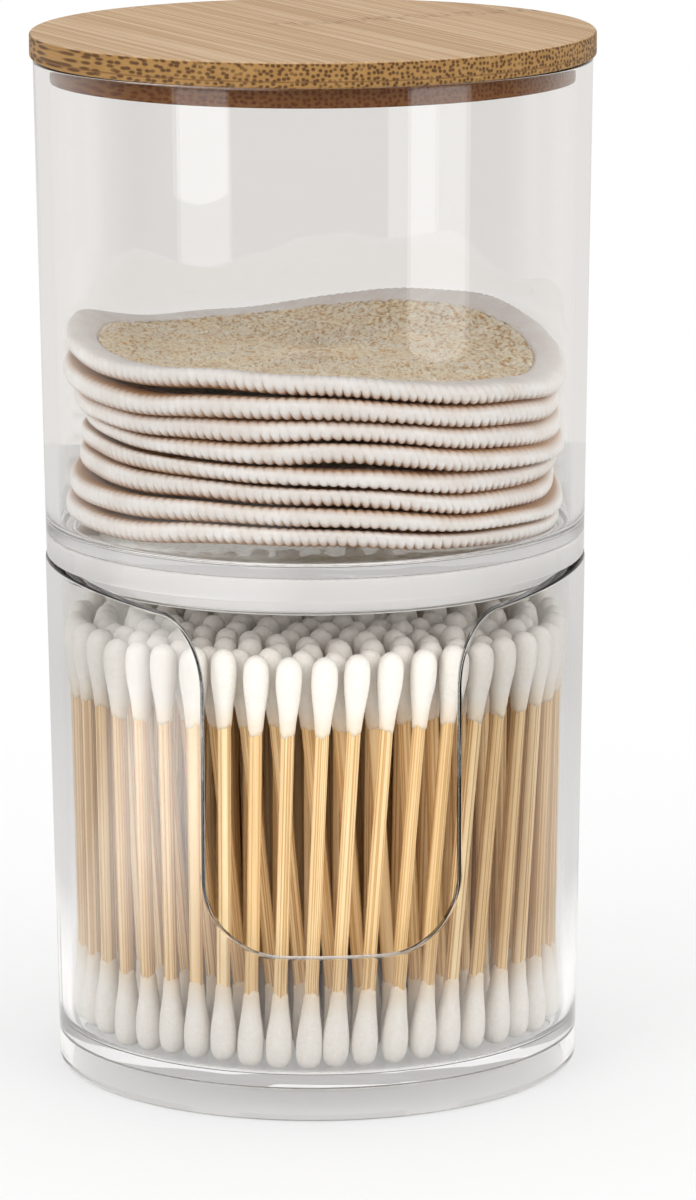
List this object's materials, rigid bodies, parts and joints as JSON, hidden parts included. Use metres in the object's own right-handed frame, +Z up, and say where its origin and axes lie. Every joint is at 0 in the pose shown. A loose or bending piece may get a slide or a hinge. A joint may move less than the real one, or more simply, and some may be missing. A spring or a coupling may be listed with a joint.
{
  "type": "cotton swab and pad holder",
  "caption": "Two stacked clear round cups with a bamboo plug lid: terry pads in the closed upper cup, standing cotton swabs in the lower cup, which is open at the front.",
  "frame": {"origin": "on the table under the middle of the base", "axes": "+Z up through the lid, the open front of the lower cup faces -Y"},
  "size_m": [0.1012, 0.1012, 0.1885],
  "materials": {
    "clear_plastic": "clear polished moulding",
    "bamboo_board": "sanded and oiled bamboo",
    "terry": "beige terry loops",
    "edging_thread": "off-white overlock thread",
    "bamboo_stick": "raw bamboo",
    "cotton": "white wound cotton"
  },
  "bodies": {
    "lower": {"lower_cup": "clear_plastic", "swab_sticks_row_1": "bamboo_stick", "swab_sticks_row_2": "bamboo_stick", "swab_sticks_row_3": "bamboo_stick", "swab_sticks_row_4": "bamboo_stick", "swab_sticks_row_5": "bamboo_stick", "swab_sticks_row_6": "bamboo_stick", "swab_sticks_row_7": "bamboo_stick", "swab_sticks_row_8": "bamboo_stick", "swab_sticks_row_9": "bamboo_stick", "swab_buds_row_1": "cotton", "swab_buds_row_2": "cotton", "swab_buds_row_3": "cotton", "swab_buds_row_4": "cotton", "swab_buds_row_5": "cotton", "swab_buds_row_6": "cotton", "swab_buds_row_7": "cotton", "swab_buds_row_8": "cotton", "swab_buds_row_9": "cotton"},
    "upper": {"upper_cup": "clear_plastic", "pad_1_terry": "terry", "pad_2_terry": "terry", "pad_3_terry": "terry", "pad_4_terry": "terry", "pad_5_terry": "terry", "pad_6_terry": "terry", "pad_7_terry": "terry", "pad_8_terry": "terry", "pad_1_edging": "edging_thread", "pad_2_edging": "edging_thread", "pad_3_edging": "edging_thread", "pad_4_edging": "edging_thread", "pad_5_edging": "edging_thread", "pad_6_edging": "edging_thread", "pad_7_edging": "edging_thread", "pad_8_edging": "edging_thread"},
    "lid": {"lid": "bamboo_board"}
  },
  "joints": [
    {"name": "upper_cup_lift", "type": "slide", "parent": "lower", "child": "upper", "axis": [0, 0, 1], "range_m": [0, 0.06]},
    {"name": "lid_lift", "type": "slide", "parent": "upper", "child": "lid", "axis": [0, 0, 1], "range_m": [0, 0.06]}
  ]
}
